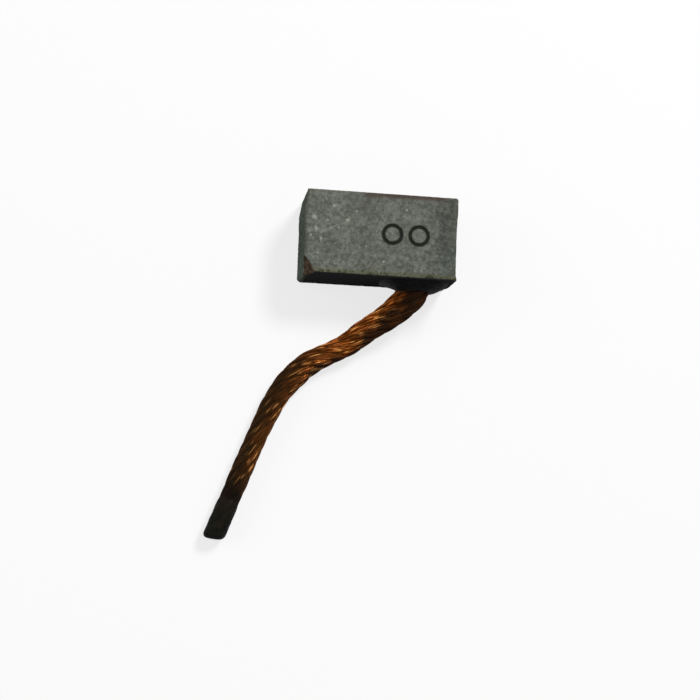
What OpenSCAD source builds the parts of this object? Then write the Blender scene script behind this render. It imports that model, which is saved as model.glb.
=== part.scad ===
// Copper-graphite motor brush: a pressed block with a stranded copper shunt tamped and cemented into
// a drilled hole. The block lies on its back face. +X runs to the spring end, -X to the commutator
// end, and the shunt leaves the -Y side near the spring end. The origin is the middle of the back face.

/* [Block] */
// Length from the commutator end to the spring end
block_l = 16; // [13:0.5:22]
// Width along the commutator's axis
block_w = 8.7; // [8:0.1:12]
// Thickness between the two broad faces
block_t = 6.5; // [6.3:0.1:9]
// Radius of the commutator that the end has bedded to
commutator_r = 18; // [12:1:40]
// Radius of the pressed long edges
edge_r = 0.15; // [0.05:0.05:0.3]
// Radius of the front edge that the brush box has rubbed
rubbed_edge_r = 0.35; // [0.05:0.05:0.6]
// Radius of the two upright corners on the shunt's side
heel_r = 0.5; // [0.1:0.1:0.8]
// Radius of the two upright corners on the other side
corner_r = 0.3; // [0.1:0.1:0.6]

/* [Punched rings] */
// Diameter of each ring, on the middle of its groove
ring_d = 1.9; // [1.4:0.1:2.2]
// Width of the round punch that made the groove
ring_stroke = 0.37; // [0.2:0.01:0.5]
// Depth of the groove
ring_depth = 0.13; // [0.05:0.01:0.16]
// Distance from the spring end to the nearer ring's middle
ring_inset = 4; // [2:0.25:5]
// Distance between the two rings
ring_pitch = 2.8; // [2.6:0.1:4]

/* [Wear] */
// Depth of the worn slope at the commutator end, away from the shunt
wear_depth = 0.35; // [0.1:0.05:0.8]
// Length of that slope across the width
wear_run = 2; // [1:0.25:3]
// Reach of the broken corner along the block's length
chip_l = 1.2; // [0.8:0.1:2]
// Reach of the broken corner across the width
chip_w = 1.7; // [1:0.1:2.2]
// Reach of the broken corner down the thickness
chip_t = 1.7; // [1:0.1:2.2]
// Radius of the hollow that the broken piece left
chip_hollow_r = 4; // [2.5:0.5:8]

/* [Shunt hole] */
// Distance from the spring end to the hole's axis
hole_inset = 4; // [3.6:0.1:5]
// Diameter of the drilled hole
hole_d = 3.8; // [3.4:0.1:4.4]
// Depth of the hole to the shoulder of its drill point
hole_depth = 5.5; // [4:0.25:6]
// Angle of the drill point
drill_angle = 118; // [90:2:140]
// Clearance between the tamped filling and what it touches
filling_gap = 0.02; // [0.01:0.01:0.05]

/* [Shunt] */
// Diameter of the stranded shunt where its strands lie tight
lead_d = 2.2; // [1.8:0.05:2.3]
// Diameter at the root, where the strands spread
root_d = 3.1; // [2.6:0.05:3.2]
// Length of the shunt held inside the hole
lead_grip = 4.7; // [3:0.1:5]
// Diameter of the fused tip
tip_d = 2.3; // [2.2:0.05:2.5]
// Length of the fused tip
tip_l = 4; // [2:0.25:6]
// Radius round the end of the fused tip
tip_round_r = 0.5; // [0.2:0.05:0.9]

/* [Cement] */
// Height of the cement against the shunt
cement_h = 1.2; // [0.6:0.1:1.3]
// Thickness of the cement's edge against the shunt
cement_rim = 0.08; // [0.04:0.01:0.15]
// Room between the cement and the shunt
cement_gap = 0.2; // [0.15:0.01:0.25]
// Height at which the cement breaks off towards the spring end
cement_shoulder = 0.35; // [0.1:0.05:0.5]
// Bare strip between the cement and the rounded edges of the block's side
cement_clear = 0.05; // [0.05:0.05:0.5]
// Radius of the corners of the patch of cement
cement_corner_r = 1.5; // [0.5:0.1:2]

/* [Hidden] */
$fn = 96;
over = 1;                                   // how far a cutter runs past the face it cuts

hole_x = block_l / 2 - hole_inset;
face_y = -block_w / 2;                      // the side that the shunt leaves
mid_z = block_t / 2;
hole_r = hole_d / 2;
root_r = root_d / 2;
drill_h = hole_r / tan(drill_angle / 2);    // height of the drill point
cement_bore_r = root_r + cement_gap;
cement_x = 2 * (hole_inset - heel_r - cement_clear);    // size of the patch of cement
cement_z = 2 * (mid_z - edge_r - cement_clear);
film = 0.02;                                // thickness of the two slices that the cement spans
lie_z = tip_d / 2;                          // height of the shunt's axis where it lies

// The free shunt's route from the hole's mouth: steps along X and Y in millimetres, the share of the
// mouth's height that is left, and how far the diameter there is from lead_d (0) to root_d (1).
ROUTE = [
    [0.1, -0.7, 1, 1], [0.1, -1.4, 0.98, 1], [-0.3, -2.2, 0.90, 1],
    [-1.2, -3.0, 0.79, 0.9], [-2.4, -3.8, 0.65, 0.8], [-4.0, -4.9, 0.45, 0.6],
    [-5.2, -5.7, 0.30, 0.4], [-6.4, -6.7, 0.18, 0.3], [-8.0, -7.6, 0.10, 0.2],
    [-9.4, -8.3, 0.08, 0.3], [-10.8, -9.2, 0.07, 0.4], [-12.0, -10.4, 0.07, 0.5],
    [-13.0, -11.6, 0.06, 0.4], [-13.9, -13.1, 0.04, 0.2], [-14.6, -14.6, 0.02, 0.1],
    [-15.2, -16.0, 0.01, 0], [-15.8, -17.5, 0, 0], [-16.4, -19.0, 0, 0],
    [-17.0, -20.6, 0, 0], [-17.6, -22.2, 0, 0], [-18.2, -23.8, 0, 0.1]
];
TUBE_SIDES = 8;

// Axis of the shunt, from its inner end to the fused tip, with the radius at each point
held = [for (y = [lead_grip, lead_grip / 2, 0]) [hole_x, face_y + y, mid_z, root_r]];
free = [for (p = ROUTE) [hole_x + p[0], face_y + p[1], lie_z + p[2] * (mid_z - lie_z),
                         (lead_d + p[3] * (root_d - lead_d)) / 2]];
axis = concat(held, free);
lead_end = axis[len(axis) - 1];
lead_heading = lead_end - axis[len(axis) - 2];
tip_turn = atan2(lead_heading[1], lead_heading[0]);

function at(p) = [p[0], p[1], p[2]];
function unit(v) = v / norm(v);
function heading(i) = unit(at(axis[min(i + 1, len(axis) - 1)]) - at(axis[max(i - 1, 0)]));
function ring(i) =
    let (t = heading(i), side = unit(cross(t, [0, 0, 1])), up = cross(side, t))
    [for (k = [0:TUBE_SIDES - 1])
        let (a = (k + 0.5) * 360 / TUBE_SIDES) at(axis[i]) + axis[i][3] * (side * cos(a) + up * sin(a))];

// The sharp corner of a square, outside a rounding of radius r, with the corner at the origin
module corner_waste(r) {
    difference() {
        translate([-over, -over]) square(r + over);
        translate([r, r]) circle(r);
    }
}

// Rectangle centred on the origin, with radii from the corner at -X -Y round by +X -Y
module rounded_rect(x, y, radii) {
    difference() {
        square([x, y], center = true);
        for (i = [0:3]) {
            sx = i == 1 || i == 2 ? 1 : -1;
            sy = i > 1 ? 1 : -1;
            if (radii[i] > 0)
                translate([sx * x / 2, sy * y / 2]) scale([-sx, -sy]) corner_waste(radii[i]);
        }
    }
}

// Outline of the block seen from the front, with the slope worn at the commutator end
module block_plan() {
    difference() {
        rounded_rect(block_l, block_w, [heel_r, heel_r, corner_r, corner_r]);
        polygon([[-block_l / 2, block_w / 2 - wear_run], [-block_l / 2 + wear_depth, block_w / 2],
                 [-block_l / 2 + wear_depth, block_w / 2 + over], [-block_l / 2 - over, block_w / 2 + over],
                 [-block_l / 2 - over, block_w / 2 - wear_run]]);
    }
}

// Ball that breaks the corner away: it passes through the three points where the break meets the edges
module chip() {
    corner = [-block_l / 2, face_y, block_t];
    a = corner + [chip_l, 0, 0];
    b = corner + [0, chip_w, 0];
    c = corner - [0, 0, chip_t];
    normal = unit(cross(b - a, c - a));
    outward = normal * [-1, -1, 1] > 0 ? normal : -normal;
    ab = b - a;
    ac = c - a;
    n = cross(ab, ac);
    centre = a + (cross(n, ab) * (ac * ac) + cross(ac, n) * (ab * ab)) / (2 * (n * n));
    rise = sqrt(max(0, pow(chip_hollow_r, 2) - pow(norm(centre - a), 2)));
    translate(centre + outward * rise) sphere(chip_hollow_r);
}

// Round ring punched into the front face, the i-th from the spring end
module punched_ring(i) {
    translate([block_l / 2 - ring_inset - i * ring_pitch, 0, block_t + ring_stroke / 2 - ring_depth])
        rotate_extrude() translate([ring_d / 2, 0]) circle(d = ring_stroke, $fn = 48);
}

// Profile of the drilled hole, turned about its axis: mouth at the origin, depth upwards
module hole_profile(r, mouth) {
    polygon([[0, -mouth], [r, -mouth], [r, hole_depth], [0, hole_depth + drill_h * r / hole_r]]);
}

// Puts what is drawn along +Z on the hole's axis, +Z running into the block
module on_hole_axis() {
    translate([hole_x, face_y, mid_z]) rotate([-90, 0, 0]) children();
}

module carbon_block() {
    color("dimgray")
    difference() {
        intersection() {
            linear_extrude(block_t) block_plan();
            translate([-block_l / 2 - over, 0, mid_z]) rotate([90, 0, 90])
                linear_extrude(block_l + 2 * over)
                    rounded_rect(block_w, block_t, [edge_r, edge_r, rubbed_edge_r, edge_r]);
            translate([0, block_w / 2 + over, mid_z]) rotate([90, 0, 0])
                linear_extrude(block_w + 2 * over) difference() {
                    rounded_rect(block_l, block_t, [0, edge_r, edge_r, 0]);
                    translate([-block_l / 2 - sqrt(pow(commutator_r, 2) - pow(mid_z, 2)), 0])
                        circle(commutator_r, $fn = 360);
                }
        }
        chip();
        for (i = [0, 1]) punched_ring(i);
        on_hole_axis() rotate_extrude() hole_profile(hole_r, over);
    }
}

module tamping_powder() {
    color("rosybrown")
    difference() {
        on_hole_axis() rotate_extrude() hole_profile(hole_r - filling_gap, 0);
        on_hole_axis() translate([0, 0, -over])
            cylinder(r = root_r + filling_gap, h = lead_grip + filling_gap + over);
    }
}

// Mound with straight flanks, from a rounded patch on the block's side up to a round edge at the shunt,
// and with a shoulder towards the spring end
module sealing_cement() {
    color("darkslategray")
    translate([hole_x, face_y, mid_z]) rotate([90, 0, 0])
        difference() {
            hull() {
                linear_extrude(film)
                    rounded_rect(cement_x, cement_z, [for (i = [0:3]) cement_corner_r], $fn = 32);
                translate([cement_x / 4, 0, cement_shoulder - film]) linear_extrude(film)
                    rounded_rect(cement_x / 2, cement_z * 0.8, [for (i = [0:3]) 1], $fn = 32);
                translate([0, 0, cement_h - film])
                    cylinder(r = cement_bore_r + cement_rim, h = film, $fn = 48);
            }
            translate([0, 0, -over]) cylinder(r = cement_bore_r, h = cement_h + 2 * over, $fn = 48);
        }
}

// Swept through a ring of points at each point of the route
module copper_shunt() {
    rings = len(axis);
    color("chocolate")
    polyhedron(
        points = [for (i = [0:rings - 1]) each ring(i)],
        faces = concat(
            [[for (k = [0:TUBE_SIDES - 1]) k]],
            [for (i = [0:rings - 2], k = [0:TUBE_SIDES - 1])
                let (a = i * TUBE_SIDES + k, b = i * TUBE_SIDES + (k + 1) % TUBE_SIDES)
                [a, a + TUBE_SIDES, b + TUBE_SIDES, b]],
            [[for (k = [TUBE_SIDES - 1:-1:0]) (rings - 1) * TUBE_SIDES + k]]
        )
    );
}

module fused_tip() {
    color("black")
    translate(at(lead_end)) rotate([0, 0, tip_turn]) rotate([0, 90, 0])
        rotate_extrude() union() {
            square([tip_d / 2, tip_l - tip_round_r]);
            square([tip_d / 2 - tip_round_r, tip_l]);
            translate([tip_d / 2 - tip_round_r, tip_l - tip_round_r]) intersection() {
                circle(tip_round_r);
                square(tip_round_r);
            }
        }
}

carbon_block();
tamping_powder();
sealing_cement();
copper_shunt();
fused_tip();
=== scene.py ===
import math
import random

import bpy
from mathutils import Matrix, Vector, noise


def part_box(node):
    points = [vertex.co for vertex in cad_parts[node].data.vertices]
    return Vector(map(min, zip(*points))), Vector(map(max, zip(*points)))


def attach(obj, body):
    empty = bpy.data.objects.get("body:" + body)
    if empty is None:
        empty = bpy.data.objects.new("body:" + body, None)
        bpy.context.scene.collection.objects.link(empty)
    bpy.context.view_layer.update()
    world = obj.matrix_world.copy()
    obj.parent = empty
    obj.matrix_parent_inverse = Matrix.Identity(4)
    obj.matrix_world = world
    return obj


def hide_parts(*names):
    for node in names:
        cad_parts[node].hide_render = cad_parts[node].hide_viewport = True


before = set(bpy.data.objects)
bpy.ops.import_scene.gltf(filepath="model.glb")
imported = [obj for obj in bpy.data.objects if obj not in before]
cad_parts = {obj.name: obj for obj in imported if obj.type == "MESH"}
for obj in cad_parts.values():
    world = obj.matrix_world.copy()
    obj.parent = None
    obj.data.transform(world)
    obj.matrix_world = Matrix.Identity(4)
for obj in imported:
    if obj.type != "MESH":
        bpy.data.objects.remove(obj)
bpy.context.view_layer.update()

bpy.ops.object.select_all(action="DESELECT")
MM = 0.001

# Camera
# It looks down on the brush as it lies, from a little beyond the commutator end and the lead's side.
AIM = Vector((-1.95, -11.42, 0.0)) * MM
CAMERA_DISTANCE = 150 * MM
LENS = 72.2
TOWARDS_COMMUTATOR = 7.4
TOWARDS_LEAD = 7.9
ROLL = 2.13
camera_data = bpy.data.cameras.new("camera")
camera_data.sensor_width = 36
camera_data.lens = LENS
camera_turn = (
    Matrix.Rotation(math.radians(-TOWARDS_COMMUTATOR), 3, "Y")
    @ Matrix.Rotation(math.radians(TOWARDS_LEAD), 3, "X")
    @ Matrix.Rotation(math.radians(ROLL), 3, "Z")
)
camera = bpy.data.objects.new("camera", camera_data)
camera.location = AIM + camera_turn @ Vector((0, 0, CAMERA_DISTANCE))
camera.rotation_euler = camera_turn.to_euler()
camera_data.clip_start = 0.005
bpy.context.collection.objects.link(camera)
bpy.context.scene.camera = camera
bpy.context.scene.view_settings.view_transform = "Standard"

# Copper shunt
# A bare flexible lead: strands of fine copper wire laid right-handed round each other, the wires in each
# strand twisted the other way. It is tamped into the block at one end and fused at the other, and in
# between it drops to the table and lies there with the bends that handling has given it.
block_low, block_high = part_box("carbon_block")
powder_low, powder_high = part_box("tamping_powder")
tip_low, tip_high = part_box("fused_tip")
LEAD_D = 2.2 * MM
ROOT_D = 3.1 * MM
LEAD_GRIP = 4.7 * MM
mouth = Vector(((powder_low.x + powder_high.x) / 2, block_low.y, (powder_low.z + powder_high.z) / 2))
lie_z = (tip_low.z + tip_high.z) / 2

# Steps from the hole's mouth along X and Y in metres, the share of the mouth's height that is left, and
# how far the diameter there is from LEAD_D to ROOT_D
ROUTE = [
    (0.0002, -0.0007, 1, 1.3), (-0.0001, -0.0014, 0.98, 1.1), (-0.0007, -0.0021, 0.90, 1),
    (-0.0015, -0.0029, 0.79, 0.85), (-0.0026, -0.0038, 0.65, 0.7), (-0.0040, -0.0048, 0.45, 0.5),
    (-0.0052, -0.0057, 0.30, 0.4), (-0.0064, -0.0067, 0.18, 0.3), (-0.0080, -0.0076, 0.10, 0.2),
    (-0.0094, -0.0083, 0.08, 0.3), (-0.0108, -0.0092, 0.07, 0.4), (-0.0120, -0.0104, 0.07, 0.5),
    (-0.0130, -0.0116, 0.06, 0.4), (-0.0139, -0.0131, 0.04, 0.2), (-0.0146, -0.0146, 0.02, 0.1),
    (-0.0152, -0.0160, 0.01, 0), (-0.0158, -0.0175, 0, 0), (-0.0164, -0.0190, 0, 0),
    (-0.0170, -0.0206, 0, 0), (-0.0176, -0.0222, 0, 0), (-0.0182, -0.0238, 0, -0.1),
]

# The route is cut into CURVE_CUTS between two points, smoothed, and then cut evenly every RING_GAP
CURVE_CUTS = 16
SMOOTHINGS = 14
RING_GAP = 0.33 * MM

# The strands are laid once round in LAY, and the wires in a strand once round, the other way, in WIRE_LAY.
# Each strand is pressed wider than it is deep by STRAND_SPREAD, and a plain core fills it inside its wires.
STRANDS = 8
WIRES = 20
LAY = 12.8 * MM
WIRE_LAY = 8 * MM
WIRE_R = 0.055 * MM
WIRE_SIDES = 5
CORE_SIDES = 8
CORE_INSET = 1.6 * WIRE_R
STRAND_SPREAD = 1.3

# How unevenly the strands and the wires lie, and how far wear, the ragged edge of the painted shade and
# the painted glints run along them.
# The noise below takes a place of its own for each of these, by adding a plain number such as 9 or 41.5.
STRAND_WANDER = 0.10
STRAND_SWAY = 0.05
WIRE_WANDER = 0.22
WIRE_RISE = 0.07
WEAR_STREAK = 0.13
SHADE_EDGE_SIZE = 1.1 * MM
GLINT_RUN = 0.7 * MM


def route_points():
    """The route as vectors of x, y, z and radius, from the lead's inner end to its fused tip."""
    held = [Vector((mouth.x, mouth.y + y, mouth.z, ROOT_D / 2)) for y in (LEAD_GRIP, LEAD_GRIP / 2, 0)]
    free = []
    for x, y, drop, swell in ROUTE:
        radius = (LEAD_D + swell * (ROOT_D - LEAD_D)) / 2
        free.append(Vector((mouth.x + x, mouth.y + y, lie_z + drop * (mouth.z - lie_z), radius)))
    return held + free


def smooth_line(points, gap):
    """A smooth curve through the points, cut into equal steps of about gap."""
    ends = [2 * points[0] - points[1], *points, 2 * points[-1] - points[-2]]
    fine = []
    for a, b, c, d in zip(ends, ends[1:], ends[2:], ends[3:]):
        for i in range(CURVE_CUTS):
            t = i / CURVE_CUTS
            bend, twist = 2 * a - 5 * b + 4 * c - d, 3 * b - a - 3 * c + d
            fine.append((2 * b + (c - a) * t + bend * t**2 + twist * t**3) / 2)
    fine.append(points[-1].copy())
    for _ in range(SMOOTHINGS):
        fine[1:-1] = [(a + 2 * b + c) / 4 for a, b, c in zip(fine, fine[1:], fine[2:])]
    run = [0.0]
    for a, b in zip(fine, fine[1:]):
        run.append(run[-1] + (b.xyz - a.xyz).length)
    steps = round(run[-1] / gap)
    line, k = [], 0
    for i in range(steps + 1):
        want = run[-1] * i / steps
        while k < len(run) - 2 and run[k + 1] < want:
            k += 1
        share = (want - run[k]) / (run[k + 1] - run[k])
        line.append(fine[k].lerp(fine[k + 1], min(1.0, share)))
    return line, run[-1]


def carried_frames(places, first):
    """For each place the direction of travel and two cross directions, which never turn about the line."""
    frames, across = [], first
    for i in range(len(places)):
        ahead = (places[min(i + 1, len(places) - 1)] - places[max(i - 1, 0)]).normalized()
        across = (across - ahead * across.dot(ahead)).normalized()
        frames.append((ahead, across, ahead.cross(across)))
    return frames


lead_line, lead_length = smooth_line(route_points(), RING_GAP)
lead_places = [p.xyz for p in lead_line]
lead_radii = [p.w for p in lead_line]
lead_frames = carried_frames(lead_places, Vector((0, 0, 1)))
lead_mesh = {name: [] for name in ("points", "faces", "along", "crest", "tint", "tarnish", "painted_shade", "glint")}


def smooth_step(value, low, high):
    """0 where value is at low, 1 where it is at high, smooth in between."""
    share = min(1.0, max(0.0, (value - low) / (high - low)))
    return share * share * (3 - 2 * share)


def painted_shade_at(run, side):
    """How much painted shade lies on the lead at a share of its length, side from 1 on its left to -1.

    The shade is painted on the side turned from the light: along the right side above, thinning out at the
    bend, and along the left side below. At the root it covers the lead all round, and there it is partly a
    stain and partly the painted shadow of the block.
    """
    edge = 0.12 - 0.75 * smooth_step(run, 0.27, 0.42)
    above = smooth_step(side, edge + 0.30, edge - 0.30) * smooth_step(run, 0.66, 0.52)
    below = 0.8 * smooth_step(side, -0.25, 0.55) * smooth_step(run, 0.48, 0.60)
    root = smooth_step(run, 0.200 - 0.012 * side, 0.178 - 0.012 * side)
    return max(above, below, root)


def add_tube(places, outs, radii, sides, tint, glints):
    """Adds one closed tube to the lead. outs are the directions in which its rings start.

    Every point keeps what the copper's finish reads: its share of the lead's length, how far out it lies,
    its wire's tint and tarnish, its painted shade, and its painted glint where the wire crosses its strand's
    crown.
    """
    first = len(lead_mesh["points"])
    streak = Vector((40 * tint, 0, 0))
    for i, (place, out, radius) in enumerate(zip(places, outs, radii)):
        ahead = (places[min(i + 1, len(places) - 1)] - places[max(i - 1, 0)]).normalized()
        across = (out - ahead * out.dot(ahead)).normalized()
        beside = ahead.cross(across)
        worn = 0.5 + 0.8 * noise.noise(streak + Vector((0, i * WEAR_STREAK, 0)))
        shade_edge = 0.5 * noise.noise(place / SHADE_EDGE_SIZE)
        for k in range(sides):
            turn = 2 * math.pi * k / sides
            point = place + (across * math.cos(turn) + beside * math.sin(turn)) * radius
            point.z = max(0.0, point.z)
            away = point - lead_places[i]
            side = away.normalized().dot(lead_frames[i][0].cross(Vector((0, 0, 1))))
            run = i / (len(places) - 1)
            lead_mesh["points"].append(point)
            lead_mesh["along"].append(run)
            lead_mesh["crest"].append(away.length / lead_radii[i])
            lead_mesh["tint"].append(tint)
            lead_mesh["tarnish"].append(worn)
            # Painted shade on the side turned from the light, with a ragged edge
            lead_mesh["painted_shade"].append(painted_shade_at(run, side + shade_edge))
            lead_mesh["glint"].append(glints[i])
    for i in range(len(places) - 1):
        for k in range(sides):
            a, b = first + i * sides + k, first + i * sides + (k + 1) % sides
            lead_mesh["faces"].append((a, b, b + sides, a + sides))
    lead_mesh["faces"].append([first + k for k in reversed(range(sides))])
    lead_mesh["faces"].append([first + (len(places) - 1) * sides + k for k in range(sides)])


chance = random.Random(11)
NECK = math.sin(math.pi / STRANDS) / (1 + math.sin(math.pi / STRANDS))
for strand in range(STRANDS):
    centres, outs, sideways, strand_radii = [], [], [], []
    lift = chance.uniform(0.98, 1.06)
    loose = Vector((chance.uniform(0, 50), strand * 7.0, 0))
    for i, ((ahead, across, beside), place, radius) in enumerate(zip(lead_frames, lead_places, lead_radii)):
        run = lead_length * i / (len(lead_places) - 1)
        turn = 2 * math.pi * (strand / STRANDS + run / LAY)
        turn += STRAND_WANDER * noise.noise(loose + Vector((0, 0, run / (3 * MM))))
        out = across * math.cos(turn) + beside * math.sin(turn)
        sway = lift + STRAND_SWAY * noise.noise(loose + Vector((9, 0, run / (2 * MM))))
        strand_r = radius * NECK
        travel = ahead + (beside * math.cos(turn) - across * math.sin(turn)) * (
            2 * math.pi * (radius - strand_r) / LAY
        )
        centres.append(place + out * (radius - strand_r) * sway)
        outs.append(out)
        sideways.append(travel.normalized().cross(out))
        strand_radii.append(strand_r)
    add_tube(centres, outs, [r - CORE_INSET for r in strand_radii], CORE_SIDES, 0.0, [0.0] * len(centres))
    for wire in range(WIRES):
        stray = Vector((strand * 5.0, wire * 3.0, 0))
        places, wire_outs, glints = [], [], []
        for i, (centre, out, side, strand_r) in enumerate(zip(centres, outs, sideways, strand_radii)):
            run = lead_length * i / (len(lead_places) - 1)
            turn = 2 * math.pi * (wire / WIRES - run / WIRE_LAY)
            turn += WIRE_WANDER * noise.noise(stray + Vector((0, 0, run / (1.5 * MM))))
            rise = WIRE_RISE * noise.noise(stray + Vector((4, 0, run / (1.2 * MM))))
            reach = (strand_r - WIRE_R) * (1 + rise)
            direction = out * math.cos(turn) + side * math.sin(turn) * STRAND_SPREAD
            places.append(centre + direction * reach)
            wire_outs.append(direction)
            # A painted glint: bright copper painted where a wire crosses its strand's crown, here and there
            glint_strand = noise.noise(loose + Vector((0, 41.5, run / GLINT_RUN)))
            bare = 0.6 * glint_strand + 0.7 * noise.noise(stray * 3.7)
            glints.append(smooth_step(bare, 0.27, 0.40) * smooth_step(math.cos(turn), 0.88, 0.97))
        add_tube(places, wire_outs, [WIRE_R] * len(places), WIRE_SIDES, chance.random(), glints)

shunt_mesh = bpy.data.meshes.new("shunt_rope")
shunt_mesh.from_pydata(lead_mesh["points"], [], lead_mesh["faces"])
for name in ("along", "crest", "tint", "tarnish", "painted_shade", "glint"):
    shunt_mesh.attributes.new(name, "FLOAT", "POINT").data.foreach_set("value", lead_mesh[name])
shunt_mesh.shade_smooth()
shunt = bpy.data.objects.new("shunt_rope", shunt_mesh)
bpy.context.collection.objects.link(shunt)


def new_material(name):
    """A material with a bare Principled shader, as (material, nodes, links, shader)."""
    material = bpy.data.materials.new(name)
    material.use_nodes = True
    tree = material.node_tree
    return material, tree.nodes, tree.links, tree.nodes["Principled BSDF"]


def add_node(nodes, kind, links=None, feeds=None, **settings):
    """Adds a node, sets its properties and wires up the sockets named in feeds."""
    made = nodes.new(kind)
    for key, value in settings.items():
        setattr(made, key, value)
    for key, value in (feeds or {}).items():
        if isinstance(value, bpy.types.NodeSocket):
            links.new(value, made.inputs[key])
        else:
            made.inputs[key].default_value = value
    return made


def read_attribute(nodes, name):
    """The value that the mesh carries at its points under a name."""
    return add_node(nodes, "ShaderNodeAttribute", attribute_name=name).outputs["Fac"]


def fade(nodes, links, value, low, high, start=0.0, end=1.0):
    """start where value is low, end where it is high, smooth in between."""
    feeds = {"Value": value, "From Min": low, "From Max": high, "To Min": start, "To Max": end}
    made = add_node(nodes, "ShaderNodeMapRange", links, feeds, interpolation_type="SMOOTHSTEP")
    return made.outputs["Result"]


def grain(nodes, links, size, detail=3.0, roughness=0.55):
    """Noise from 0 to 1 on the piece's own coordinates, with blotches of about size metres."""
    place = add_node(nodes, "ShaderNodeTexCoord").outputs["Object"]
    feeds = {"Vector": place, "Scale": 1 / size, "Detail": detail, "Roughness": roughness}
    return add_node(nodes, "ShaderNodeTexNoise", links, feeds).outputs["Fac"]


def blend(nodes, links, share, a, b, kind="MIX"):
    """Colour a where share is 0 and b where it is 1."""
    made = add_node(nodes, "ShaderNodeMix", data_type="RGBA", blend_type=kind)
    for socket, value in ((made.inputs[0], share), (made.inputs[6], a), (made.inputs[7], b)):
        if isinstance(value, bpy.types.NodeSocket):
            links.new(value, socket)
        else:
            socket.default_value = (*value, 1) if isinstance(value, tuple) else value
    return made.outputs[2]


def times(nodes, links, a, b):
    """One value times another."""
    made = add_node(nodes, "ShaderNodeMath", operation="MULTIPLY")
    for socket, value in zip(made.inputs, (a, b)):
        if isinstance(value, bpy.types.NodeSocket):
            links.new(value, socket)
        else:
            socket.default_value = value
    return made.outputs[0]


def bump(nodes, links, height, depth, strength=1.0):
    """A normal roughened by height, up to depth metres."""
    feeds = {"Height": height, "Distance": depth, "Strength": strength}
    return add_node(nodes, "ShaderNodeBump", links, feeds).outputs["Normal"]


BRIGHT_COPPER = (0.37, 0.090, 0.012), (0.63, 0.195, 0.040)
STREAK_BROWN = (0.13, 0.035, 0.0055)
PATCH_BROWN = (0.070, 0.020, 0.004)
LOWER_BROWN = (0.044, 0.019, 0.0068)
LAY_SHADOW = (0.012, 0.005, 0.002)
# Colour of the painted glints
GLINT_PAINT = (0.86, 0.40, 0.11)
# Colours of the painted shade, above and below the bend
SHADE_PAINT = (0.0125, 0.0086, 0.0060), (0.017, 0.012, 0.006)
BURNT_COPPER = (0.0110, 0.0082, 0.0054)


def copper_finish():
    """Tarnished bare copper, with painted glints on the crowns, painted shadow in the lays, and painted
    shade along the side turned from the light, which at the root is partly a stain.

    It is brightest above, browner along its lower length, and burnt where it is fused.
    """
    material, nodes, links, shader = new_material("tarnished_copper")
    names = ("along", "crest", "tint", "tarnish", "painted_shade", "glint")
    along, crest, tint, tarnish, painted_shade, glint = (read_attribute(nodes, name) for name in names)
    bright = blend(nodes, links, tint, *BRIGHT_COPPER)
    streaks = fade(nodes, links, tarnish, 0.25, 0.60)
    colour = blend(nodes, links, streaks, bright, STREAK_BROWN)
    patches = fade(nodes, links, grain(nodes, links, 1.2 * MM, 2.0), 0.45, 0.62, 0.0, 0.7)
    colour = blend(nodes, links, patches, colour, PATCH_BROWN)
    # Browner along the lower length
    low = fade(nodes, links, along, 0.38, 0.66, 0.0, 0.85)
    colour = blend(nodes, links, low, colour, LOWER_BROWN)
    crown = fade(nodes, links, crest, 0.80, 1.0)
    colour = blend(nodes, links, crown, LAY_SHADOW, colour)
    # Painted glints, fainter along the lower length
    glint = times(nodes, links, glint, fade(nodes, links, along, 0.45, 0.72, 0.95, 0.62))
    colour = blend(nodes, links, glint, colour, GLINT_PAINT)
    # Painted shade on the side turned from the light, partly a stain at the root
    shade_colour = blend(nodes, links, fade(nodes, links, along, 0.45, 0.6), *SHADE_PAINT)
    colour = blend(nodes, links, times(nodes, links, painted_shade, 0.90), colour, shade_colour)
    burnt = fade(nodes, links, along, 0.86, 0.98)
    colour = blend(nodes, links, burnt, colour, BURNT_COPPER)
    links.new(colour, shader.inputs["Base Color"])
    links.new(fade(nodes, links, tarnish, 0.2, 0.8, 0.25, 0.5), shader.inputs["Roughness"])
    shader.inputs["Metallic"].default_value = 0.5
    shader.inputs["Specular IOR Level"].default_value = 0.03
    shader.inputs["Specular Tint"].default_value = (0.6, 0.3, 0.12, 1)
    return material


shunt.data.materials.append(copper_finish())
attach(shunt, "root")
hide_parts("copper_shunt")

# Fused tip
# The end of the lead, where the wires are melted and pressed into one solid dark rod, so that they cannot
# fray. The grooves between the strands still show where it begins, and fade out along it, and its blunt
# end is cut a little askew.
TIP_R = (tip_high.z - tip_low.z) / 2
TIP_L = 4.1 * MM
TIP_CAP = 0.75 * MM
TIP_SKEW = 0.26
FLUTE_DEPTH = 0.09

# The rod starts inside the strands, where it is thinner by TIP_NECK. INNER_END and CAP_FROM are the shares
# of its outline at which its inner end stops and its blunt end starts.
TIP_START = -1 * MM
TIP_NECK = 0.86
INNER_END = 0.08
CAP_FROM = 0.75
tip_ahead, tip_across, tip_beside = lead_frames[-1]


def rod_profile(share):
    """Place along the rod and radius, from its inner end at 0 to the middle of its blunt end at 1."""
    if share < INNER_END:
        return TIP_START, TIP_NECK * TIP_R * share / INNER_END
    if share < CAP_FROM:
        walk = (share - INNER_END) / (CAP_FROM - INNER_END)
        thickness = TIP_NECK + (1 - TIP_NECK) * smooth_step(walk, 0, 0.3)
        return TIP_START + (TIP_L - TIP_CAP - TIP_START) * walk, TIP_R * thickness
    turn = (share - CAP_FROM) / (1 - CAP_FROM) * math.pi / 2
    return TIP_L - TIP_CAP * (1 - math.sin(turn) ** 0.75), TIP_R * abs(math.cos(turn)) ** 0.55


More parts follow.
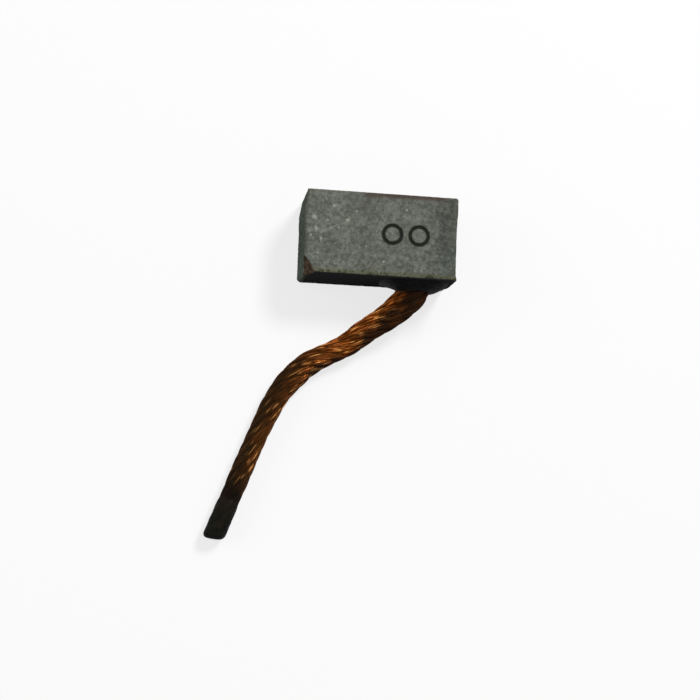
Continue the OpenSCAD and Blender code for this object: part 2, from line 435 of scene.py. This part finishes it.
bpy.ops.mesh.primitive_uv_sphere_add(segments=96, ring_count=72, radius=1)
tip = bpy.context.object
tip.name = "fused_rod"
melted = []
for vertex in tip.data.vertices:
    share = math.acos(max(-1.0, min(1.0, vertex.co.z))) / math.pi
    around = math.atan2(vertex.co.y, vertex.co.x)
    walk, radius = rod_profile(share)
    strand_turn = STRANDS * (around - 2 * math.pi * (lead_length + walk) / LAY) / 2
    groove = 1 - abs(math.cos(strand_turn)) ** 0.7
    out = tip_across * math.cos(around) + tip_beside * math.sin(around)
    spot = (out * radius + tip_ahead * walk) / MM
    radius *= 1 - FLUTE_DEPTH * groove * smooth_step(walk, 3.2 * MM, 0.4 * MM)
    radius *= 1 - 0.02 - 0.02 * noise.noise(spot * 1.1) - 0.012 * noise.noise(spot * 4)
    walk -= 0.03 * MM * (1 + noise.noise(spot * 1.7)) * smooth_step(walk, 0.7 * TIP_L, TIP_L)
    walk -= TIP_SKEW * out.x * radius * max(0.0, walk / TIP_L) ** 2
    vertex.co = lead_places[-1] + tip_ahead * walk + out * radius
    melted.append(smooth_step(walk + 0.5 * MM * noise.noise(spot), 0.4 * MM, 2.2 * MM))
tip.data.attributes.new("melted", "FLOAT", "POINT").data.foreach_set("value", melted)
tip.data.shade_smooth()


FUSED_BLACK = (0.0038, 0.0046, 0.0032), (0.0090, 0.0098, 0.0072)
SCALE_BROWN = (0.011, 0.008, 0.0055)


def fused_finish():
    """Burnt, pressed copper: almost black, satin, with a little brown left where the strands run in."""
    material, nodes, links, shader = new_material("fused_copper")
    mottle = fade(nodes, links, grain(nodes, links, 0.5 * MM), 0.35, 0.65)
    colour = blend(nodes, links, mottle, *FUSED_BLACK)
    scale = fade(nodes, links, grain(nodes, links, 1.3 * MM), 0.58, 0.70)
    colour = blend(nodes, links, scale, colour, SCALE_BROWN)
    colour = blend(nodes, links, read_attribute(nodes, "melted"), BURNT_COPPER, colour)
    links.new(colour, shader.inputs["Base Color"])
    satin = fade(nodes, links, grain(nodes, links, 0.3 * MM), 0.3, 0.7, 0.42, 0.62)
    links.new(satin, shader.inputs["Roughness"])
    links.new(bump(nodes, links, grain(nodes, links, 0.16 * MM), 0.02 * MM, 0.6), shader.inputs["Normal"])
    shader.inputs["Specular IOR Level"].default_value = 0.03
    return material


tip.data.materials.append(fused_finish())
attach(tip, "root")
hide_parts("fused_tip")

# Sealing cement
# A dark collar that seals the powder into the hole. It was put on soft, wetted the block's side out to the
# rounded corner, climbed the strands, and set with a hollow flank and an uneven rim.
cement_low, cement_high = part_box("sealing_cement")
COLLAR_RIM = 0.12 * MM
COLLAR_BORE = 0.86
COLLAR_SINK = 0.08 * MM
COLLAR_SQUARE = 4.5

# How much further the foot runs out to each end, how hollow the flank is, and how much of that is filled
# towards the spring end
COLLAR_RUN = 0.17
COLLAR_HOLLOW = 1.25
FLANK_FULL = 0.60

# The shares of a collar section's way round at which its rim, its bore and its back begin, and how far the
# rim drops inwards
RIM_FROM, BORE_FROM, BACK_FROM = 0.5, 0.62, 0.85
RIM_DROP = 0.12


def lead_at(depth):
    """Centre and radius of the lead at a distance out from the block's side."""
    for a, b in zip(lead_line, lead_line[1:]):
        if b.y <= mouth.y - depth:
            return a.lerp(b, min(1.0, max(0.0, (a.y - mouth.y + depth) / (a.y - b.y))))
    return lead_line[-1]


def collar_profile(share, foot, bore, rim, height, hollow, sink):
    """Radius and height of the collar's outline: up the flank, over the rim, down its bore, back out."""
    if share < RIM_FROM:
        climb = share / RIM_FROM
        return rim + (foot - rim) * (1 - climb) ** hollow, height * climb
    if share < BORE_FROM:
        turn = (share - RIM_FROM) / (BORE_FROM - RIM_FROM)
        return rim + (bore - rim) * turn, height * (1 - RIM_DROP * turn * turn)
    if share < BACK_FROM:
        down = (share - BORE_FROM) / (BACK_FROM - BORE_FROM)
        return bore, (1 - RIM_DROP) * height * (1 - down) - sink * down
    return bore + (foot - bore) * (share - BACK_FROM) / (1 - BACK_FROM), -sink


bpy.ops.mesh.primitive_torus_add(major_radius=1, minor_radius=0.5, major_segments=128, minor_segments=56)
cement = bpy.context.object
cement.name = "cement_collar"
for vertex in cement.data.vertices:
    around = math.atan2(vertex.co.y, vertex.co.x)
    inner_turn = math.atan2(vertex.co.z, vertex.co.xy.length - 1)
    share = (inner_turn / (2 * math.pi)) % 1.0
    out = Vector((math.cos(around), 0, math.sin(around)))
    wide, tall = (cement_high.x - cement_low.x) / 2, (cement_high.z - cement_low.z) / 2
    foot = abs(out.x / wide) ** COLLAR_SQUARE + abs(out.z / tall) ** COLLAR_SQUARE
    foot = foot ** (-1 / COLLAR_SQUARE)
    foot *= 0.97 + 0.03 * noise.noise(out * 2.3) + COLLAR_RUN * abs(out.x) ** 3
    height = (cement_high.y - cement_low.y) * (0.93 + 0.07 * noise.noise(out * 2.1))
    root = lead_at(height)
    rim = root.w + COLLAR_RIM
    bore = COLLAR_BORE * root.w
    hollow = COLLAR_HOLLOW - FLANK_FULL * out.x
    sink = COLLAR_SINK * (1 + 3 * max(0.0, out.x) ** 6)
    radius, depth = collar_profile(share, foot, bore, rim, height, hollow, sink)
    here = lead_at(max(0.0, depth))
    lean = Vector((here.x - mouth.x, 0, here.z - mouth.z)) * smooth_step(foot - radius, 0, foot - root.w)
    spot = mouth + lean + out * radius + Vector((0, -depth, 0))
    vertex.co = spot + out * 0.03 * MM * noise.noise(spot / (0.45 * MM))
cement.data.shade_smooth()
bpy.ops.object.mode_set(mode="EDIT")
bpy.ops.mesh.select_all(action="SELECT")
bpy.ops.mesh.normals_make_consistent(inside=False)
bpy.ops.object.mode_set(mode="OBJECT")


CEMENT = (0.0065, 0.0065, 0.0070), (0.0125, 0.0125, 0.0130)


def cement_finish():
    """Dark set cement: dull and faintly grainy."""
    material, nodes, links, shader = new_material("dark_cement")
    mottle = fade(nodes, links, grain(nodes, links, 0.4 * MM), 0.35, 0.65)
    colour = blend(nodes, links, mottle, *CEMENT)
    links.new(colour, shader.inputs["Base Color"])
    dullness = fade(nodes, links, grain(nodes, links, 0.3 * MM), 0.3, 0.7, 0.55, 0.75)
    links.new(dullness, shader.inputs["Roughness"])
    links.new(bump(nodes, links, grain(nodes, links, 0.12 * MM), 0.02 * MM, 0.7), shader.inputs["Normal"])
    shader.inputs["Specular IOR Level"].default_value = 0.03
    return material


cement.data.materials.append(cement_finish())
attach(cement, "root")
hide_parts("sealing_cement")

# Tamping powder
# Coarse copper powder, rammed round the lead in the drilled hole. It carries the current from the block into
# the wires, and the cement hides it.
COPPER_POWDER = (0.16, 0.07, 0.03), (0.42, 0.20, 0.09)


def powder_finish():
    """Rammed copper powder: coarse, metallic and dull."""
    material, nodes, links, shader = new_material("copper_powder")
    grit = fade(nodes, links, grain(nodes, links, 0.12 * MM), 0.4, 0.6)
    links.new(blend(nodes, links, grit, *COPPER_POWDER), shader.inputs["Base Color"])
    links.new(bump(nodes, links, grain(nodes, links, 0.12 * MM), 0.03 * MM), shader.inputs["Normal"])
    shader.inputs["Metallic"].default_value = 0.8
    shader.inputs["Roughness"].default_value = 0.6
    return material


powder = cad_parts["tamping_powder"]
powder.data.materials.clear()
powder.data.materials.append(powder_finish())

# Carbon block
# Pressed and baked copper-graphite, sawn to size. Its arrises are worn and nicked, one corner is broken out,
# and two plain rings are punched into its face, where the real one carries its marks.

# Sizes in millimetres: the block is worked at that scale and then brought back to metres
VOXEL = 0.085
RING_MARKS = [(1.2, 0.0), (4.0, 0.0)]
RING_R = 0.95
RING_STROKE = 0.37
COMMUTATOR_R = 18.0
SWELL = 0.03
ARRIS = 0.5
WEAR_DEPTH = 0.35
WEAR_RUN = 2.0
CHIP = Vector((1.2, 1.7, 1.7))
BREAK_ON_SIDE = Vector((1.3, 2.8))
SCRATCH = (Vector((-6.2, -0.2)), Vector((-3.7, 1.0)))

# How much the sides and the upright corner beside the lead, at its foot and higher up, are fuller than a
# plain block
CEMENTED_SIDE_FULL = 0.1
SPRING_END_FULL = 0.1
COMMUTATOR_END_FULL = 0.07
CORNER_FULL = (0.1, 0.4)

# Pale specks on the face: their places along X and Y, and their sizes
SPECKS = [
    (-7.0, 1.4, 0.20), (-6.8, 0.1, 0.16), (-3.5, 1.2, 0.18), (-6.2, -0.9, 0.13), (-5.0, 2.6, 0.15),
    (-4.4, 0.4, 0.10), (-7.3, -0.6, 0.12), (-5.6, 1.1, 0.09), (-2.6, 2.2, 0.10), (0.4, -2.9, 0.10),
    (5.9, 1.7, 0.09), (-1.5, -1.4, 0.08), (-6.5, -2.4, 0.11), (2.6, 2.7, 0.08),
]
half_l = (block_high.x - block_low.x) / 2 / MM
half_w = (block_high.y - block_low.y) / 2 / MM
thick = block_high.z / MM

block = bpy.data.objects.new("carbon_body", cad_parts["carbon_block"].data.copy())
bpy.context.collection.objects.link(block)
block.data.materials.clear()
block.data.transform(Matrix.Scale(1 / MM, 4))
bpy.ops.object.select_all(action="DESELECT")
block.select_set(True)
bpy.context.view_layer.objects.active = block
bpy.ops.object.mode_set(mode="EDIT")
bpy.ops.mesh.select_all(action="SELECT")
bpy.ops.mesh.remove_doubles(threshold=0.001)
bpy.ops.mesh.normals_make_consistent(inside=False)
bpy.ops.object.mode_set(mode="OBJECT")
remesh = block.modifiers.new("grain", "REMESH")
remesh.mode = "VOXEL"
remesh.voxel_size = VOXEL
bpy.ops.object.modifier_apply(modifier="grain")


def worn_back(y, z):
    """How far the commutator has worn the end face back at y and z, by its curve and by the sloped wear."""
    curve = math.sqrt(COMMUTATOR_R**2 - (z - thick / 2) ** 2) - math.sqrt(COMMUTATOR_R**2 - thick**2 / 4)
    return max(curve, WEAR_DEPTH * (y - half_w + WEAR_RUN) / WEAR_RUN)


MARK_NAMES = "side", "dark", "arris", "lip_highlight_and_notches", "rim", "painted_end_shade", "rubbed", "broken", "sunk", "scuffed"
marks = {name: [] for name in MARK_NAMES}
moved = []
for vertex in block.data.vertices:
    spot, normal = vertex.co, vertex.normal
    left = spot.x + half_l - worn_back(min(half_w, spot.y), min(thick, max(0.0, spot.z)))
    low, high = spot.z, thick - spot.z
    near, far = half_w + spot.y, half_w - spot.y

    # Worn arrises, pits and the crumbled break. An arris is where the second nearest face is close.
    second = sorted((abs(left), half_l - spot.x, near, far, low, high))[1]
    edge = max(0.0, 1 - second / ARRIS)
    coarse, fine = noise.noise(spot * 1.6), noise.noise(spot * 5.5 + Vector((7, 0, 0)))
    ragged = 1.3 if near < 0.6 and high < 0.8 else 0.8
    wear = edge**1.5 * ragged * (0.01 + 0.10 * max(0.0, coarse) + 0.10 * max(0.0, fine))
    pits = 0.25 * max(0.0, noise.noise(spot * 3.1 + Vector((0, 9, 0))) - 0.52)
    uneven = 0.006 * (1 + coarse) + 0.006 * (1 + fine)
    broken = smooth_step(min(left, near, high), 0.02, 0.10)
    broken *= left / CHIP.x + near / CHIP.y + high / CHIP.z < 2.4
    crumbled = 0.09 * broken * (1 + noise.noise(spot * 3.6))

    # Where the pressing is fuller than its plain shape: the upright corner beside the lead, more so higher
    # up, the cemented side, and both ends towards the far side
    corner = max(0.0, 1 - near / ARRIS) * max(0.0, 1 - (half_l - spot.x) / ARRIS)
    corner *= CORNER_FULL[0] + (CORNER_FULL[1] - CORNER_FULL[0]) * smooth_step(low, 0.3, 2.5)
    fuller = Vector((corner, -corner - CEMENTED_SIDE_FULL * smooth_step(-spot.y, 2, 4), 0))
    longer = smooth_step(abs(spot.x), 5, 7.5) * smooth_step(spot.y, 0.5, 3)
    fuller.x += SPRING_END_FULL * longer if spot.x > 0 else -COMMUTATOR_END_FULL * longer
    moved.append(spot - normal * (wear + pits + uneven + crumbled - SWELL) + fuller)

    # What the finish reads: the break runs on as bare brown down the cemented side, and the rings, the
    # scratch and the specks lie on the face
    if near < 0.15:
        away = left / BREAK_ON_SIDE.x + high / BREAK_ON_SIDE.y
        broken = max(broken, smooth_step(away + 0.2 * fine, 1.05, 0.90))
    # Painted shade in the grooves of the punched rings
    ring = min(abs(math.hypot(spot.x - x, spot.y - y) - RING_R) for x, y in RING_MARKS)
    sunk = smooth_step(ring, RING_STROKE / 2 + 0.05, RING_STROKE / 2 - 0.02) if high < 0.25 else 0.0
    a, b = SCRATCH
    along = min(1.0, max(0.0, (spot.xy - a).dot(b - a) / (b - a).length_squared))
    bend = 0.25 * noise.noise(spot * 0.9)
    scuffed = 0.35 * smooth_step((spot.xy - a.lerp(b, along)).length + bend + 0.1 * fine, 0.16, 0.0)
    for x, y, size in SPECKS:
        reach = math.hypot(spot.x - x, spot.y - y) * (1 + 0.9 * fine)
        scuffed = max(scuffed, 0.9 * smooth_step(reach, 1.7 * size, 0.3 * size))
    marks["side"].append(1 - smooth_step(normal.z, 0.3, 0.9))
    # Painted shade on the side the lead leaves from, which is turned from the light
    facing_away = smooth_step(-normal.y, 0.45, 0.75)
    marks["dark"].append(facing_away * smooth_step(spot.x, -half_l + 0.2, -half_l + 0.8))
    marks["arris"].append(edge)
    # Along the face's arris on the lead's side: a painted highlight, with real notches in it
    marks["lip_highlight_and_notches"].append(smooth_step(near + 0.25 * fine, 0.60, 0.25) if high < 0.25 else 0.0)
    # Painted shade along the face's arris at the commutator end
    marks["rim"].append(smooth_step(left + 0.2 * coarse, 0.50, 0.10) * smooth_step(high, 0.5, 0.1))
    # Painted shade, growing towards the spring end
    marks["painted_end_shade"].append(smooth_step(spot.x + 0.8 * coarse, 4.2, 7.2))
    marks["rubbed"].append(
        smooth_step(far, 0.75, 0.25) * smooth_step(high, 0.9, 0.3)
        * smooth_step(spot.x, -2.6, -1.0) * smooth_step(spot.x, 7.4, 6.0)
    )
    marks["broken"].append(broken)
    marks["sunk"].append(sunk)
    marks["scuffed"].append(scuffed if high < 0.2 else 0.0)
block.data.vertices.foreach_set("co", [x for spot in moved for x in (spot.x, spot.y, max(0.0, spot.z))])
for name, values in marks.items():
    block.data.attributes.new(name, "FLOAT", "POINT").data.foreach_set("value", values)
block.data.transform(Matrix.Scale(MM, 4))
block.data.shade_smooth()


GRAPHITE = (0.094, 0.103, 0.088), (0.208, 0.223, 0.190)
GRAPHITE_SPECKLE = (0.105, 0.112, 0.096)
CLOUD_TINT = (0.82, 0.80, 0.78)
PALE_FLAKES = (0.28, 0.29, 0.26)
SCUFFED = (0.33, 0.34, 0.28)
END_SHADE_TINT = (0.66, 0.67, 0.69)
SIDE_TINT = (0.93, 1.06, 1.03)
ARRIS_OLIVE = (0.12, 0.115, 0.070)
LIP_HIGHLIGHT = (0.118, 0.121, 0.062)
NOTCH = (0.026, 0.028, 0.017)
RIM_SHADE = (0.040, 0.046, 0.036)
RUBBED_BROWN = (0.066, 0.044, 0.038)
SIDE_SHADE = (0.044, 0.044, 0.048)
BROKEN_BROWN = (0.060, 0.042, 0.028), (0.190, 0.125, 0.085)
RING_GROOVE_SHADE = (0.014, 0.016, 0.012)


def graphite_finish():
    """Pressed copper-graphite: dull grey-green and finely mottled, with painted shade on the side the lead
    leaves from.
    """
    material, nodes, links, shader = new_material("copper_graphite")
    mark = {name: read_attribute(nodes, name) for name in marks}
    mottle = fade(nodes, links, grain(nodes, links, 0.42 * MM, 3.0, 0.6), 0.32, 0.68)
    colour = blend(nodes, links, mottle, *GRAPHITE)
    speckle = fade(nodes, links, grain(nodes, links, 0.20 * MM, 2.0), 0.32, 0.68, 0.0, 0.55)
    colour = blend(nodes, links, speckle, colour, GRAPHITE_SPECKLE)
    clouds = fade(nodes, links, grain(nodes, links, 3.0 * MM), 0.3, 0.7)
    clouded = blend(nodes, links, 1.0, colour, CLOUD_TINT, "MULTIPLY")
    colour = blend(nodes, links, clouds, colour, clouded)
    flakes = fade(nodes, links, grain(nodes, links, 0.30 * MM, 2.0), 0.60, 0.74, 0.0, 0.45)
    colour = blend(nodes, links, flakes, colour, PALE_FLAKES)
    colour = blend(nodes, links, mark["scuffed"], colour, SCUFFED)
    # Painted shade over the face towards the spring end
    dull = blend(nodes, links, 1.0, colour, END_SHADE_TINT, "MULTIPLY")
    colour = blend(nodes, links, mark["painted_end_shade"], colour, dull)
    shade = blend(nodes, links, 1.0, colour, SIDE_TINT, "MULTIPLY")
    colour = blend(nodes, links, mark["side"], colour, shade)
    ragged = grain(nodes, links, 0.5 * MM)
    patchy = times(nodes, links, mark["arris"], fade(nodes, links, ragged, 0.40, 0.62, 0.0, 0.4))
    colour = blend(nodes, links, patchy, colour, ARRIS_OLIVE)
    # A painted highlight along the face's arris on the lead's side
    colour = blend(nodes, links, times(nodes, links, mark["lip_highlight_and_notches"], 0.6), colour, LIP_HIGHLIGHT)
    notches = times(nodes, links, mark["lip_highlight_and_notches"], fade(nodes, links, ragged, 0.52, 0.62, 0.0, 0.8))
    colour = blend(nodes, links, notches, colour, NOTCH)
    # Painted shade along the face's arris at the commutator end
    colour = blend(nodes, links, times(nodes, links, mark["rim"], 0.6), colour, RIM_SHADE)
    colour = blend(nodes, links, times(nodes, links, mark["rubbed"], 0.85), colour, RUBBED_BROWN)
    # Painted shade over the side the lead leaves from
    colour = blend(nodes, links, mark["dark"], colour, SIDE_SHADE)
    brown = blend(nodes, links, mottle, *BROKEN_BROWN)
    colour = blend(nodes, links, mark["broken"], colour, brown)
    # The punched rings are painted near black: painted shade in their grooves
    colour = blend(nodes, links, times(nodes, links, mark["sunk"], 0.94), colour, RING_GROOVE_SHADE)
    links.new(colour, shader.inputs["Base Color"])
    height = grain(nodes, links, 0.16 * MM, 4.0, 0.65)
    links.new(bump(nodes, links, height, 0.025 * MM, 0.6), shader.inputs["Normal"])
    shader.inputs["Roughness"].default_value = 0.6
    shader.inputs["Specular IOR Level"].default_value = 0.0
    return material


block.data.materials.append(graphite_finish())
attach(block, "root")
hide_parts("carbon_block")

# Light and table
# A plain pale table in soft studio light, brighter from above and from the spring end.
TABLE_SIZE = 3.0
LIT_POINT = Vector((-0.002, -0.010, 0.0))
ROOM_LIGHT = 0.25
TABLE_SHOWN = (0.92, 0.92, 0.92)
TABLE_BOUNCE = (0.35, 0.35, 0.35)
TABLE_GLOW = 0.75


def soft_light(name, place, size, power):
    """A round lamp of size metres at place, aimed at the brush."""
    data = bpy.data.lights.new(name, "AREA")
    data.shape = "DISK"
    data.size = size
    data.energy = power
    lamp = bpy.data.objects.new(name, data)
    lamp.location = place
    lamp.rotation_euler = (LIT_POINT - lamp.location).to_track_quat("-Z", "Y").to_euler()
    bpy.context.collection.objects.link(lamp)


soft_light("key_light", Vector((0.20, 0.27, 0.38)), 0.14, 2.2)
soft_light("fill_light", Vector((-0.40, 0.05, 0.25)), 0.30, 0.5)


def shown_rays(nodes, links):
    """1 for what the camera, a reflection or a clear body sees, 0 for the light that falls on things."""
    path = add_node(nodes, "ShaderNodeLightPath").outputs
    seen = add_node(nodes, "ShaderNodeMath", operation="MAXIMUM")
    links.new(path["Is Camera Ray"], seen.inputs[0])
    links.new(path["Is Glossy Ray"], seen.inputs[1])
    also = add_node(nodes, "ShaderNodeMath", operation="MAXIMUM")
    links.new(seen.outputs[0], also.inputs[0])
    links.new(path["Is Transmission Ray"], also.inputs[1])
    return also.outputs[0]


world = bpy.data.worlds.new("studio")
world.use_nodes = True
bpy.context.scene.world = world
nodes, links = world.node_tree.nodes, world.node_tree.links
backdrop = nodes["Background"]
backdrop.inputs["Color"].default_value = (1, 1, 1, 1)
links.new(fade(nodes, links, shown_rays(nodes, links), 0, 1, ROOM_LIGHT, 1.0), backdrop.inputs["Strength"])

bpy.ops.mesh.primitive_plane_add(size=TABLE_SIZE, location=(0, 0, 0))
table = bpy.context.object
table.name = "table"
material, nodes, links, shader = new_material("pale_table")
seen = shown_rays(nodes, links)
paper = add_node(nodes, "ShaderNodeBsdfDiffuse")
links.new(blend(nodes, links, seen, TABLE_BOUNCE, TABLE_SHOWN), paper.inputs["Color"])
glow = add_node(nodes, "ShaderNodeEmission", feeds={"Color": (1, 1, 1, 1)})
lift = add_node(nodes, "ShaderNodeMixShader")
links.new(times(nodes, links, seen, TABLE_GLOW), lift.inputs[0])
links.new(paper.outputs[0], lift.inputs[1])
links.new(glow.outputs[0], lift.inputs[2])
links.new(lift.outputs[0], nodes["Material Output"].inputs["Surface"])
table.data.materials.append(material)
bpy.ops.object.select_all(action="DESELECT")
